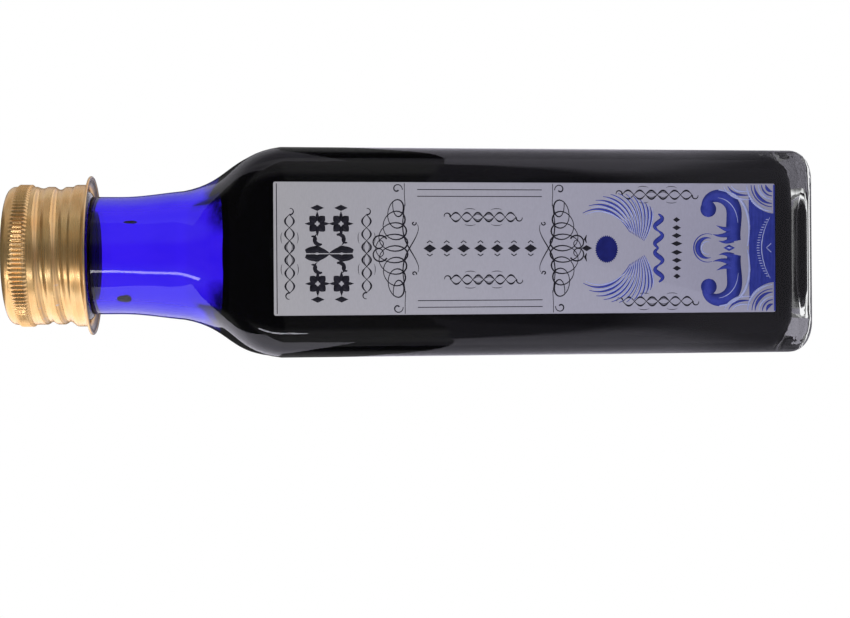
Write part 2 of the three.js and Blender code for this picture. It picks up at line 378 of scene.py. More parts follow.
def press_punt(foot):
    """Sink the middle of the base into a shallow hollow inside a flat foot ring."""
    pick("FACE", lambda face: face.normal.z < -0.999 and face.calc_center_median().z < 1e-6)
    inner = (foot - FOOT_WIDTH) / foot
    bpy.ops.mesh.extrude_region_move()
    bpy.ops.transform.resize(value=(inner, inner, 1), center_override=(0, 0, 0))
    for lift, shrink in ((0.45, 0.93), (0.35, 0.86), (0.2, 0.8)):
        bpy.ops.mesh.extrude_region_move(TRANSFORM_OT_translate={"value": (0, 0, lift * PUNT_DEPTH)})
        bpy.ops.transform.resize(value=(shrink, shrink, 1), center_override=(0, 0, 0))


# %% Outside of the glass
HEEL_RADIUS = 3.2 * MM
BEAD_BOTTOM = WALL_TOP + SHOULDER_HEIGHT + FLARE_HEIGHT + 5.1 * MM
BEAD_HEIGHT = 2.3 * MM
BEAD_STAND = 1.2 * MM
BEAD_TOP = BEAD_BOTTOM + BEAD_HEIGHT
LIP_ROUND = 0.9 * MM
THREAD_ROW = 0.24 * MM


def outer_skin():
    """The outer skin from the foot to the lip, with its bead and thread."""
    skin = square_block("bottle_glass", BODY_HALF, BODY_CORNER, HEEL_RADIUS, 0, WALL_TOP)
    press_punt(BODY_HALF - HEEL_RADIUS)
    pick("EDGE", at_height(WALL_TOP))
    raise_shoulder(0, 0, 0, BODY_CORNER)
    raise_flare(0, 0)
    middle = (BEAD_BOTTOM + BEAD_TOP) / 2
    bead = arc(0, 0, 1, -90, 90, 10)
    raise_round([(NECK_RADIUS + BEAD_STAND * x, middle + BEAD_HEIGHT / 2 * y) for x, y in bead])
    rows = int((LIP - LIP_ROUND - BEAD_TOP) / THREAD_ROW)
    raise_round([(NECK_RADIUS, mix(BEAD_TOP, LIP - LIP_ROUND, i / rows)) for i in range(1, rows + 1)])
    raise_round(arc(NECK_RADIUS - LIP_ROUND, LIP - LIP_ROUND, LIP_ROUND, 0, 88, 6)[1:])
    press(skin, "thread", THREAD_DEPTH,
          lambda co: helix_share(co, THREAD_TOP, 0.4 * MM, 1.1 * MM) if co.z > BEAD_TOP else 0)
    return skin


glass_outside = outer_skin()
report(glass_outside)

# %% Inside of the glass
INK_GAP = 0.3 * MM
INNER_FLOOR = ink_low[2] - INK_GAP
INNER_CORNER = 4.0 * MM
INNER_DROP = 1.2 * MM
BORE_RADIUS = NECK_RADIUS - NECK_WALL


def inner_skin(name, gap):
    """The hollow of the bottle, grown by `gap`, up to the straight bore."""
    inset = BODY_WALL - gap
    corner = INNER_CORNER + gap
    straight = WALL_TOP - INNER_DROP
    skin = square_block(name, BODY_HALF - inset, corner, 0.99 * corner, INNER_FLOOR - gap, straight)
    pick("EDGE", at_height(straight))
    raise_shoulder(inset, NECK_WALL - gap, INNER_DROP, corner)
    raise_flare(NECK_WALL - gap, INNER_DROP)
    return skin


glass_inside = inner_skin("glass_inside", 0)
raise_round([(BORE_RADIUS, z) for z in (BEAD_BOTTOM, BEAD_TOP, LIP - 4 * MM, LIP - 0.6 * MM)])
raise_round(arc(BORE_RADIUS + 0.45 * MM, LIP - 0.45 * MM, 0.45 * MM, 180, 92, 4))
bpy.ops.mesh.select_all(action="SELECT")
bpy.ops.mesh.flip_normals()
report(glass_inside)

# %% One bottle of two skins
bottle_glass = join(glass_outside, glass_inside)
bpy.ops.object.mode_set(mode="EDIT")
open_edges = pick("EDGE", lambda edge: edge.is_boundary)
bpy.ops.mesh.bridge_edge_loops()
still_open = pick("EDGE", lambda edge: not edge.is_manifold)
print("lip closed over", open_edges, "edges,", still_open, "left open")
smooth(bottle_glass)
report(bottle_glass)

# %% [markdown]
# ## The ink
# The ink fills the hollow and wets the glass. In a render a liquid has to overlap its vessel by a
# hair, because a thin gap of air would make a mirror between them. So the ink is the inner skin
# grown by 0.03 mm, cut off a little above the fill level, and its surface is sunk in steps to a
# meniscus, which climbs the glass at the edge.

# %% Ink with its meniscus
INK_OVERLAP = 0.03 * MM
MENISCUS = 0.9 * MM

ink_fill = inner_skin("ink_fill", INK_OVERLAP)
bpy.ops.mesh.select_all(action="SELECT")
bpy.ops.mesh.bisect(plane_co=(0, 0, FILL_LEVEL + MENISCUS), plane_no=(0, 0, 1), use_fill=True,
                    clear_outer=True)
pick("FACE", lambda face: face.normal.z > 0.99 and face.calc_center_median().z > FILL_LEVEL)
for inset, sink in ((0.06, 0.3), (0.14, 0.3), (0.3, 0.2), (0.6, 0.14), (1.2, 0.06)):
    bpy.ops.mesh.inset(thickness=inset * MM)
    bpy.ops.transform.translate(value=(0, 0, -sink * MENISCUS))
smooth(ink_fill, 50)
report(ink_fill)

# %% [markdown]
# ## The film of ink in the neck
# Above its surface the ink has left a thin film on the inside of the glass. Light that grazes the
# inner wall is mirrored at the air behind the film, so it passes the film as well, and the colour
# reaches the very edges of the neck. A tinted inner wall would miss those rays. So the film is a
# thin sleeve of its own, a hair inside the glass: the inner skin once more, cut off at the ink
# below and near the lip above, and given a thickness with Solidify.

# %% Film sleeve
FILM_DEPTH = 0.06 * MM
FILM_THICKNESS = 0.02 * MM
FILM_TOP = LIP - 3 * MM
ink_film = inner_skin("ink_film", FILM_DEPTH)
raise_round([(BORE_RADIUS + FILM_DEPTH, z) for z in (BEAD_BOTTOM, BEAD_TOP, FILM_TOP)])
bpy.ops.mesh.select_all(action="SELECT")
bpy.ops.mesh.bisect(plane_co=(0, 0, FILL_LEVEL - 0.2 * MM), plane_no=(0, 0, 1), clear_inner=True)
apply_modifier(ink_film, "SOLIDIFY", thickness=FILM_THICKNESS, offset=-1)
smooth(ink_film, 60)
report(ink_film)

# %% [markdown]
# ## Drops of ink in the neck
# Where the ink has washed up the neck, two drops hang on the inside wall. Each is half of a
# round pebble stuck to the glass: a low sphere stretched downward, with its lower end fuller.

# %% Drops on the inside wall
# The angle around the neck in degrees, then height, half length and half width in millimetres.
DROPS = ((-51, 125.6, 1.3, 0.3), (-149, 127.0, 1.4, 0.8))


def drop(angle, height, half_length, half_width):
    """One drop, as half a pebble that leans on the bore's wall."""
    turn = math.radians(angle)
    out = Vector((math.cos(turn), math.sin(turn), 0))
    place = out * (BORE_RADIUS - 0.05 * MM) + Vector((0, 0, height * MM))
    start_fresh()
    bpy.ops.mesh.primitive_uv_sphere_add(segments=20, ring_count=14, radius=MM, location=(0, 0, 0))
    piece = begin_edit("drop")
    bpy.ops.transform.resize(value=(0.3 * half_width, half_width, half_length))
    pick("VERT", lambda vert: vert.co.z < -0.2 * half_length * MM)
    bpy.ops.transform.resize(value=(1.5, 1.2, 1.0), center_override=(0, 0, 0))
    bpy.ops.mesh.select_all(action="SELECT")
    bpy.ops.mesh.vertices_smooth(factor=0.5, repeat=2)
    bpy.ops.object.mode_set(mode="OBJECT")
    piece.matrix_world = Matrix.Translation(place) @ Matrix.Rotation(turn, 4, "Z")
    bpy.ops.object.transform_apply(location=True, rotation=True, scale=True)
    return piece


drops = [drop(*values) for values in DROPS]
neck_drops = join(*drops)
neck_drops.name = "neck_drops"
smooth(neck_drops, 80)
report(neck_drops)

# %% [markdown]
# ## The cap
# The cap is one disc of lacquered aluminium, 0.3 mm thick: drawn into a cup, knurled near its
# crown, rolled into the glass thread while on the bottle, and curled outward at its rim.
# It is made in the same order. Half of its section is drawn point by point, spun about the axis,
# pressed with the knurl and the thread, and only then given the sheet's thickness, so that every
# rib and groove shows inside the cap as well.

# %% Draw an outline and spin it
def draw_outline(name, points):
    """A chain of edges through points (radius, height), drawn by extruding a single vertex."""
    start_fresh()
    bpy.ops.mesh.primitive_plane_add(size=MM, location=(points[0][0], 0, points[0][1]))
    piece = begin_edit(name)
    bpy.ops.mesh.merge(type="CENTER")
    for here, there in zip(points, points[1:]):
        step = (there[0] - here[0], 0, there[1] - here[1])
        bpy.ops.mesh.extrude_vertices_move(TRANSFORM_OT_translate={"value": step})
    return piece


def spin_outline(steps):
    """Spin the outline being edited once around the Z axis and close its seam and poles."""
    bpy.ops.mesh.select_all(action="SELECT")
    bpy.ops.mesh.spin(steps=steps, angle=2 * math.pi, center=(0, 0, 0), axis=(0, 0, 1))
    bpy.ops.mesh.select_all(action="SELECT")
    bpy.ops.mesh.remove_doubles(threshold=1e-6)
    bpy.ops.mesh.normals_make_consistent(inside=False)


# %% The cap's section
SHEET = 0.3 * MM
CAP_WALL = 12.8 * MM
CROWN_ROUND = 1.3 * MM
KNURL_TOP = CAP_TOP - 1.7 * MM
KNURL_BOTTOM = KNURL_TOP - 2.8 * MM
SKIRT_TOP = BEAD_TOP + 0.25 * MM
STEP_TOP = SKIRT_TOP + 1.0 * MM
SKIRT_RADIUS = CAP_WALL + 0.4 * MM
RIM_TOP = CAP_BOTTOM + 1.35 * MM
CURL_RADIUS = 0.29 * MM


def rows(radius, top, bottom, pitch):
    """Points down a straight wall, without the first."""
    count = max(1, round((top - bottom) / pitch))
    return [(radius, mix(top, bottom, i / count)) for i in range(1, count + 1)]


curl_middle = RIM_RADIUS - CURL_RADIUS
curl_height = CAP_BOTTOM + CURL_RADIUS
flare_width = curl_middle - SKIRT_RADIUS
flare_depth = RIM_TOP - curl_height - CURL_RADIUS * 0.5
section = [(0, CAP_TOP - 0.12 * MM), (9.3 * MM, CAP_TOP - 0.12 * MM), (10.1 * MM, CAP_TOP)]
section += arc(CAP_WALL - CROWN_ROUND, CAP_TOP - CROWN_ROUND, CROWN_ROUND, 90, 0, 7)
section += rows(CAP_WALL, CAP_TOP - CROWN_ROUND, KNURL_TOP, 0.4 * MM)
section += rows(CAP_WALL, KNURL_TOP, KNURL_BOTTOM, 0.35 * MM)
section += rows(CAP_WALL, KNURL_BOTTOM, STEP_TOP, 0.27 * MM)
section += bezier((CAP_WALL, STEP_TOP), (CAP_WALL, STEP_TOP - 0.6 * MM),
                  (SKIRT_RADIUS, SKIRT_TOP + 0.6 * MM), (SKIRT_RADIUS, SKIRT_TOP), 4)
section += rows(SKIRT_RADIUS, SKIRT_TOP, RIM_TOP, 0.6 * MM)
section += [(SKIRT_RADIUS + flare_width * (1 + x), RIM_TOP + flare_depth * y)
            for x, y in arc(0, 0, 1, 180, 270, 7)[1:]]
print(len(section), "points in the cap's section")

# %% Spin, knurl and roll the sheet
RIBS = 100
SPIN_STEPS = 6 * RIBS
RIB_STAND = 0.38 * MM
ROLLED_DEPTH = 0.5 * MM
ROLLED_TOP = THREAD_TOP - 1.05 * MM


def rib_share(co):
    """The knurled band: rounded ribs that run out at both ends of the band."""
    inside = min(KNURL_TOP - co.z, co.z - KNURL_BOTTOM)
    if inside < -1e-7:
        return 0
    wave = 0.5 + 0.5 * math.cos(RIBS * math.atan2(co.y, co.x))
    return clamp(inside / (0.3 * MM)) * (0.22 + 0.78 * wave)


cap_shell = draw_outline("gold_cap", section)
spin_outline(SPIN_STEPS)
press(cap_shell, "knurl", RIB_STAND, rib_share)
press(cap_shell, "rolled_thread", -ROLLED_DEPTH,
      lambda co: helix_share(co, ROLLED_TOP, 0.15 * MM, 1.1 * MM) if co.z < KNURL_BOTTOM else 0)
apply_modifier(cap_shell, "SOLIDIFY", thickness=SHEET, offset=-1)

# %% The curl of the rim
start_fresh()
bpy.ops.mesh.primitive_circle_add(vertices=12, radius=CURL_RADIUS, location=(0, 0, 0),
                                  rotation=(math.pi / 2, 0, 0))
rim_curl = begin_edit("rim_curl")
bpy.ops.transform.translate(value=(curl_middle, 0, curl_height))
spin_outline(SPIN_STEPS // 3)
gold_cap = join(cap_shell, rim_curl)
smooth(gold_cap, 50)
report(gold_cap)

# %% [markdown]
# ## The liner
# A disc of white foam seals the lip. The lip has pressed a shallow ring into it. A disc is inset
# and extruded on its lower face to make that ring, and its upper edge is bevelled like the crown.

# %% Foam liner
start_fresh()
liner_radius = liner_high[0]
bpy.ops.mesh.primitive_cylinder_add(vertices=120, radius=liner_radius,
                                    depth=liner_high[2] - liner_low[2],
                                    location=(0, 0, (liner_high[2] + liner_low[2]) / 2))
foam_liner = begin_edit("foam_liner")
pick("EDGE", at_height(liner_high[2]))
bpy.ops.mesh.bevel(offset=0.9 * MM, segments=5, affect="EDGES")
pick("EDGE", at_height(liner_low[2]))
bpy.ops.mesh.bevel(offset=0.12 * MM, segments=2, affect="EDGES")
pick("FACE", lambda face: face.normal.z < -0.99)
bpy.ops.mesh.inset(thickness=liner_radius - 0.12 * MM - NECK_RADIUS - 0.1 * MM)
bpy.ops.mesh.inset(thickness=0.15 * MM)
bpy.ops.transform.translate(value=(0, 0, 0.16 * MM))
bpy.ops.mesh.inset(thickness=NECK_WALL)
bpy.ops.mesh.inset(thickness=0.15 * MM)
bpy.ops.transform.translate(value=(0, 0, -0.16 * MM))
smooth(foam_liner, 40)
report(foam_liner)

# %% [markdown]
# ## The label
# The label is a rectangle of coated paper, glued to the flat of the front. A thin block has its
# upright corners bevelled a little, as a cutting die leaves them, and its front edges softened.
# The print on it is laid on as thin raised ink, so that it stays sharp from any distance.

# %% Label paper
PAPER_THICKNESS = 0.1 * MM
PAPER_FRONT = label_high[1] - PAPER_THICKNESS
start_fresh()
paper_middle = [(low + high) / 2 for low, high in zip(label_low, label_high)]
bpy.ops.mesh.primitive_cube_add(
    size=1, location=(paper_middle[0], PAPER_FRONT + PAPER_THICKNESS / 2, paper_middle[2]),
    scale=(label_high[0] - label_low[0], PAPER_THICKNESS, label_high[2] - label_low[2]))
label_paper = begin_edit("label_paper")
pick("EDGE", lambda edge: abs(edge.verts[0].co.y - edge.verts[1].co.y) > PAPER_THICKNESS / 2)
bpy.ops.mesh.bevel(offset=0.35 * MM, segments=4, affect="EDGES")
pick("EDGE", lambda edge: all(abs(vert.co.y - PAPER_FRONT) < 1e-7 for vert in edge.verts))
bpy.ops.mesh.bevel(offset=0.03 * MM, segments=2, affect="EDGES")
smooth(label_paper)
report(label_paper)

# %% [markdown]
# ## Pen strokes for the print
# The ornament is penwork: lines that swell and thin as a nib does. Each stroke is a list of
# points (x, z) in millimetres on the label with a width that changes along it. All the strokes of
# one colour become one curve with a round bevel, which is then made a mesh and pressed flat: the
# front of every stroke onto one plane just above the paper, the back onto one inside it.

# %% Strokes and their widths
Stroke = namedtuple("Stroke", "points widths")
strokes = {"black": [], "blue": [], "pale": []}


def even(width):
    """A line of one width."""
    return lambda t: width


def swell(thin, thick):
    """A pen line that is thickest in its middle."""
    return lambda t: mix(thin, thick, math.sin(math.pi * clamp(t)) ** 1.3)


def taper(thick, thin):
    """A line that thins from its start to its end."""
    return lambda t: mix(thick, thin, t)


def pen(ink, points, width):
    """Note a stroke through points (x, z), with width(t) for t from 0 to 1 along it."""
    last = len(points) - 1
    strokes[ink].append(Stroke(points, [width(i / last) for i in range(last + 1)]))


def both_sides(ink, points, width):
    """A stroke and its mirror image in the label's upright axis."""
    pen(ink, points, width)
    pen(ink, [(-x, z) for x, z in points], width)


# %% Place points, and spirals
def moved(points, x, z, turn=0, flip=1):
    """Turn points by degrees, mirror them if flip is -1, and move them to (x, z)."""
    c = math.cos(math.radians(turn))
    s = math.sin(math.radians(turn))
    return [(x + c * a - s * b * flip, z + s * a + c * b * flip) for a, b in points]


def spiral(start_radius, end_radius, first, last, steps=28):
    """A spiral about the origin, its radius changing with the angle in degrees."""
    points = []
    for i in range(steps + 1):
        t = i / steps
        angle = math.radians(mix(first, last, t))
        radius = mix(start_radius, end_radius, t)
        points.append((radius * math.cos(angle), radius * math.sin(angle)))
    return points


# %% Lay the strokes on the paper
def lay_strokes(name, ink, stand):
    """Turn the strokes of one ink into a thin raised mesh on the paper."""
    curve = bpy.data.curves.new(name, "CURVE")
    curve.dimensions = "3D"
    curve.bevel_depth = MM
    curve.bevel_resolution = 0
    curve.use_fill_caps = True
    for stroke in strokes[ink]:
        spline = curve.splines.new("POLY")
        spline.points.add(len(stroke.points) - 1)
        for point, (x, z), width in zip(spline.points, stroke.points, stroke.widths):
            point.co = (paper_middle[0] + x * MM, PAPER_FRONT, z * MM, 1)
            point.radius = max(width, 0.02) / 2
    piece = bpy.data.objects.new(name, curve)
    bpy.context.scene.collection.objects.link(piece)
    show_only(piece)
    bpy.ops.object.convert(target="MESH")
    piece = bpy.context.object
    piece.data.name = name
    bpy.ops.object.mode_set(mode="EDIT")
    for side, depth in ((-1, stand), (1, 0.3 * PAPER_THICKNESS)):
        plane = PAPER_FRONT + side * depth
        pick("VERT", lambda vert: side * (vert.co.y - PAPER_FRONT) > 1e-9)
        bpy.ops.transform.resize(value=(1, 0, 1), center_override=(0, plane, 0))
    bpy.ops.object.mode_set(mode="OBJECT")
    print(name, len(strokes[ink]), "strokes")
    return piece


# %% [markdown]
# ## Ornaments
# The ornaments are functions of a place, a size and a turn, so that one drawing serves wherever
# it repeats: plaited bands, looped flourishes, pen nibs, flowers, leaves and lozenges. Drawing
# them by hand as curves would be freer, but each change would have to be made at every copy.

# %% Plaited bands
def plait(x, z, length, turn):
    """Two strands that cross along a band, with a knot in the middle and hooks at the ends."""
    reach = 0.78
    crossings = 6
    steps = 16 * crossings
    straight = 0.84 * length
    for side in (1, -1):
        strand = [((i / steps - 0.5) * straight, side * reach * math.sin(math.pi * crossings * i / steps))
                  for i in range(steps + 1)]
        pen("black", moved(strand, x, z, turn),
            lambda t: mix(0.12, 0.34, abs(math.sin(math.pi * crossings * t)) ** 2))
        shade = [(a, 0.62 * b) for a, b in strand[steps // 3:2 * steps // 3 + 1]]
        pen("black", moved(shade, x, z, turn), even(0.1))
        hook = [(-0.5 * straight - 0.62 + a, 0.15 + b) for a, b in spiral(0.62, 0.5, -15, 190, 16)]
        pen("black", moved([(side * a, side * b) for a, b in hook], x, z, turn), taper(0.3, 0.12))
        wisp = [(a, 1.25 + 0.35 * b) for a, b in spiral(1.1, 1.1, 25, 155, 12)]
        for place in (0.17, -0.17):
            whisker = [(a + place * length, side * b - side * 0.12) for a, b in wisp]
            pen("black", moved(whisker, x, z, turn), swell(0.04, 0.12))


# %% Looped flourishes
def flourish(z, flip):
    """A row of interlaced loops that shrink outward, with swashes below and curls at the sides."""
    loops = 4
    steps = 44 * loops
    row = []
    for i in range(steps + 1):
        u = 2 * i / steps - 1
        turn = math.pi * loops * u
        height = mix(2.9, 0.9, abs(u) ** 1.2)
        row.append((8.2 * u + 2.0 * math.sin(2 * turn), height * (0.55 + math.cos(2 * turn)) - 1.2))
    pen("black", moved(row, 0, z, 0, flip),
        lambda t: 0.15 + 0.14 * math.sin(math.pi * loops * 2 * t) ** 2)
    for side in (1, -1):
        crown = [(side * a, 2.6 + b) for a, b in spiral(1.5, 0.35, -60, 400, 40)]
        pen("black", moved(crown, side * 0.95, z, 0, flip), taper(0.3, 0.12))
        swash = bezier((-4.6, -4.0), (-3.2, -5.2), (-1.2, -3.2), (1.2, -2.1), 14)
        swash += bezier((1.2, -2.1), (4.0, -1.0), (6.0, -1.9), (8.6, -2.0), 14)
        pen("black", moved([(side * a, b) for a, b in swash], 0, z, 0, flip), swell(0.08, 0.24))
        bud = [(side * (a - 4.5), b - 3.55) for a, b in spiral(0.45, 0.1, -110, 200, 14)]
        pen("black", moved(bud, 0, z, 0, flip), even(0.22))
        shelf = [(side * 7.6, -2.02), (side * 9.6, -1.9), (side * 11.6, -1.9)]
        pen("black", moved(shelf, 0, z, 0, flip), even(0.12))
        curl = [(side * (10.6 + a), b - 0.6) for a, b in spiral(0.95, 0.3, -100, 230, 20)]
        pen("black", moved(curl, 0, z, 0, flip), taper(0.14, 0.3))


# %% A pen nib, bold scrolls and lozenges
def nib(x, z, length, width, turn):
    """A dip pen's nib as two halves beside its slit, with its vent hole left open."""
    for side in (1, -1):
        half = []
        for i in range(25):
            t = i / 24
            vent = 0.16 * math.exp(-((t - 0.48) / 0.07) ** 2)
            body = width * math.sin(math.pi * clamp(0.1 + 0.9 * t)) ** 0.7 * (1 - 0.35 * t)
            half.append(((t - 0.5) * length, side * (0.08 + vent + body / 4), max(body / 2, 0.1)))
        points = moved([(a, b) for a, b, _ in half], x, z, turn)
        strokes["black"].append(Stroke(points, [w for _, _, w in half]))


def fleuron(x, z, size):
    """A bold flower of four full petals between four slim ones."""
    for turn in range(45, 405, 90):
        petal = [(size * (0.16 + 0.84 * i / 12), 0.0) for i in range(13)]
        pen("black", moved(petal, x, z, turn),
            lambda t: size * 0.78 * math.sin(math.pi * t ** 0.8) ** 0.8)
    for turn in range(0, 360, 90):
        slim = [(size * (0.2 + 0.95 * i / 8), 0.0) for i in range(9)]
        pen("black", moved(slim, x, z, turn), swell(0.06, 0.3 * size))


def curved_leaf(x, z, size, turn, flip):
    """A heavy comma-shaped leaf, full at its root and thin at its tip."""
    line = spiral(0.9 * size, 1.2 * size, 200, 20, 18)
    pen("black", moved(line, x, z, turn, flip),
        lambda t: size * 0.75 * math.sin(math.pi * (0.15 + 0.85 * t)) ** 1.2)


def lozenge(ink, x, z, length, width):
    """A diamond that stands on its point."""
    points = [(x, z + (t - 0.5) * length) for t in (0, 0.25, 0.5, 0.75, 1)]
    pen(ink, points, lambda t: width * (1 - abs(2 * t - 1)))


# %% [markdown]
# ## Composing the label
# The title band is at the top, framed by plaits, with nibs, flowers and leaves. Below it two
# flourishes hold a panel with a column of lozenges. The foot is blue: a disc between two sprays
# of leaves, a wave, and a scrolled crest over a solid bar with fans in its corners.

# %% Upper and middle of the label
def count_strokes():
    """Print how many strokes there are of each ink."""
    print({ink: len(lines) for ink, lines in strokes.items()}, "strokes")


pen("black", [(-11.5, 99.35), (0, 99.35), (11.5, 99.35)], even(0.16))
plait(-0.9, 97.1, 16.4, 0)
plait(-0.9, 83.5, 16.4, 0)
for row, side in ((92.2, 1), (88.0, -1)):
    nib(-0.9, row, 4.2, 2.9, -90 * side)
    for x in (-6.2, 4.4):
        fleuron(x, row, 1.9)
    for x in (-3.4, 1.6):
        curved_leaf(x, row - 0.5 * side, 0.95, 90 - 90 * side, 1)
        curved_leaf(x, row + 0.9 * side, 0.6, 90 + 90 * side, 1)
    for x in (-9.0, 7.2):
        lozenge("black", x, row, 2.4, 1.1)
flourish(78.6, 1)
flourish(47.9, -1)
for x in (10.5, 9.3):
    both_sides("black", [(x, 51.8), (x, 63.0), (x, 74.4)], even(0.15))
for x in (5.6, -5.6):
    plait(x, 62.5, 14.2, 90)
for i in range(7):
    z = 72.2 - 3.05 * i
    lozenge("black", 0, z, 2.3, 1.5)
    both_sides("black", [(1.0, z + 0.5), (1.35, z), (1.0, z - 0.5)], even(0.2))
count_strokes()

# %% Disc, leaf sprays and bars
DISC = (-0.2, 39.9)
DISC_HALF = (2.55, 2.15)
TEETH = 36


def leaf(ink, root, tip, bend, width):
    """A leaf from root to tip, its middle pushed sideways by bend."""
    dx = tip[0] - root[0]
    dz = tip[1] - root[1]
    handles = [(root[0] + t * dx - bend * dz, root[1] + t * dz + bend * dx) for t in (0.35, 0.75)]
    line = [root] + bezier(root, handles[0], handles[1], tip, 16)
    both_sides(ink, line, swell(0.1, width))
    return line


for i in range(11):
    t = i / 10
    tip_turn = math.radians(mix(70, -14, t))
    tip = (1.6 + mix(12.4, 6.2, t) * math.cos(tip_turn) ** 0.9,
           33.4 + mix(11.6, 6.6, t) * math.sin(tip_turn))
    root = (mix(2.9, 1.3, t), mix(35.6, 33.0, t))
    leaf("blue", root, tip, mix(-0.3, -0.16, t), 0.42)
    leaf("pale", (root[0] + 0.2, root[1] - 0.2), (tip[0] - 0.3, tip[1] - 0.5), mix(-0.26, -0.12, t), 0.3)
lozenge("black", 0, 43.6, 2.0, 1.1)
both_sides("black", [(0.9, 43.6), (1.6, 43.9), (2.4, 43.6)], swell(0.1, 0.45))
for x in (9.7, -9.7):
    plait(x, 30.4, 15.6, 90)
for side in (1, -1):
    wave = [(side * 0.155 * i, 30.2 + 0.7 * math.sin(math.pi * i / 10)) for i in range(41)]
    pen("blue", wave, lambda t: 0.3 + 0.6 * abs(math.sin(2 * math.pi * t)))
    for i in range(4):
        lozenge("black", side * (0.8 + 1.45 * i), 26.8, 2.1 - 0.25 * i, 0.95)
count_strokes()

# %% The crest's scrolls
def ball(ink, x, z, radius):
    """A round dot, as a stroke whose width follows a circle."""
    line = [(x + radius * (i / 8 - 1), z) for i in range(17)]
    pen(ink, line, lambda t: 2 * radius * math.sqrt(clamp(1 - (2 * t - 1) ** 2)))


for side in (1, -1):
    ball("blue", side * 7.1, 20.8, 1.5)
scroll = [(7.6, 21.5)] + bezier((7.6, 21.5), (10.6, 20.9), (10.0, 15.9), (6.3, 15.9), 20)
scroll += bezier((6.3, 15.9), (4.6, 15.9), (2.8, 16.3), (1.2, 15.9), 10)
both_sides("blue", scroll, lambda t: mix(0.9, 2.9, math.sin(math.pi * clamp(0.05 + 0.66 * t)) ** 0.9))
for root, tip in (((3.6, 16.4), (4.1, 19.3)), ((2.7, 16.6), (2.5, 20.0)), ((1.6, 16.2), (1.3, 18.9))):
    handles = [(root[0] - 0.5, root[1] + 1), (tip[0] - 0.4, tip[1] - 1)]
    both_sides("blue", [root] + bezier(root, *handles, tip, 8), taper(1.3, 0.05))
both_sides("pale", bezier((10.7, 19.6), (10.4, 13.2), (5.4, 12.4), (0.3, 13.4), 24), swell(0.25, 0.6))
both_sides("pale", bezier((9.2, 19.4), (9.2, 17.2), (7.6, 15.4), (4.6, 15.2), 14), swell(0.08, 0.3))
for edge, ink, width in ((0, "pale", 0.5), (0.8, "blue", 0.45), (1.5, "pale", 0.4)):
    swirl = bezier((11.6, 18.0 - edge), (9.6 + edge / 2, 17.4 - edge),
                   (8.7 + edge, 15.0), (8.9 + edge, 12.9), 16)
    both_sides(ink, swirl, swell(0.12, width))
for radius, ink, width in ((2.6, "blue", 0.25), (1.85, "blue", 1.0), (1.15, "pale", 0.35)):
    pen(ink, [(a, 21.0 + b) for a, b in spiral(radius, radius, -20, 200, 24)], swell(0.08, width))
lozenge("blue", 0, 16.9, 2.2, 1.2)
lozenge("pale", 0, 16.9, 1.0, 0.5)
count_strokes()

# %% The crest's bar and corner fans
FOOT = label_low[2] / MM
HALF_WIDTH = (label_high[0] - label_low[0]) / 2 / MM
CORNER_ROUND = 5.4

for i in range(19):
    level = 0.18 + 0.26 * i
    reach = HALF_WIDTH - 0.2
    if level > 0.4:
        reach = HALF_WIDTH - math.sqrt(max(CORNER_ROUND ** 2 - level ** 2, 0.05)) - 0.1
    pen("blue", [(-reach, FOOT + level), (0, FOOT + level), (reach, FOOT + level)], even(0.34))
for radius, ink, width in ((4.9, "pale", 0.7), (4.1, "blue", 0.25), (3.5, "blue", 0.6), (2.7, "pale", 0.5),
                           (2.1, "blue", 0.3), (1.3, "blue", 0.6)):
    corner = [(HALF_WIDTH - 0.15 + a, FOOT + 0.45 + b) for a, b in spiral(radius, radius, 92, 178, 18)]
    both_sides(ink, corner, swell(0.15, width))
for i in range(23):
    t = 2 * i / 22 - 1
    pen("pale", [(5.2 * t, 9.4 + 1.7 * (1 - t * t)), (5.2 * t, 9.9 + 1.75 * (1 - t * t))], even(0.2))
bow = [(5.6 * (i / 15 - 1), 9.1 + 1.6 * (1 - (i / 15 - 1) ** 2)) for i in range(31)]
pen("pale", bow, swell(0.1, 0.3))
pen("pale", [(-0.8, 8.9), (0, 9.8), (0.8, 8.9)], even(0.26))
count_strokes()

# %% Print the three colours
black_print = lay_strokes("black_print", "black", 0.014 * MM)
blue_print = lay_strokes("blue_print", "blue", 0.010 * MM)
pale_print = lay_strokes("pale_print", "pale", 0.018 * MM)

# %% The toothed disc
start_fresh()
disc_at = (paper_middle[0] + DISC[0] * MM, PAPER_FRONT, DISC[1] * MM)
bpy.ops.mesh.primitive_circle_add(vertices=2 * TEETH, radius=MM, fill_type="NGON", location=disc_at,
                                  rotation=(math.pi / 2, 0, 0))
ink_disc = begin_edit("ink_disc")
bpy.ops.transform.resize(value=(DISC_HALF[0], 1, DISC_HALF[1]), center_override=disc_at)
for i, vert in enumerate(edit_mesh().verts):
    vert.select_set(i % 2 == 0)
bpy.ops.transform.resize(value=(0.9, 1, 0.9), center_override=disc_at)
bpy.ops.mesh.select_all(action="SELECT")
bpy.ops.mesh.extrude_region_move(TRANSFORM_OT_translate={"value": (0, -0.012 * MM, 0)})
bpy.ops.mesh.select_all(action="SELECT")
bpy.ops.mesh.normals_make_consistent(inside=False)
bpy.ops.object.mode_set(mode="OBJECT")
for piece in (black_print, blue_print, pale_print, ink_disc):
    report(piece)

# %% [markdown]
# ## Materials
# Each finish starts from the Principled shader. What changes over a surface, such as smudges,
# grain or wear, comes from one shared node group that gives a noise mask in the piece's own
# object coordinates, so it stays in place when the cap turns. Small helpers place the other
# nodes, so that each finish below reads as a short recipe.

# %% Place and feed nodes
def add_node(tree, kind, inputs=None, **settings):
    """Add a shader node, set its properties and its input values."""
    node = tree.nodes.new("ShaderNode" + kind)
    for key, value in settings.items():
        setattr(node, key, value)
    for key, value in (inputs or {}).items():
        node.inputs[key].default_value = value
    return node


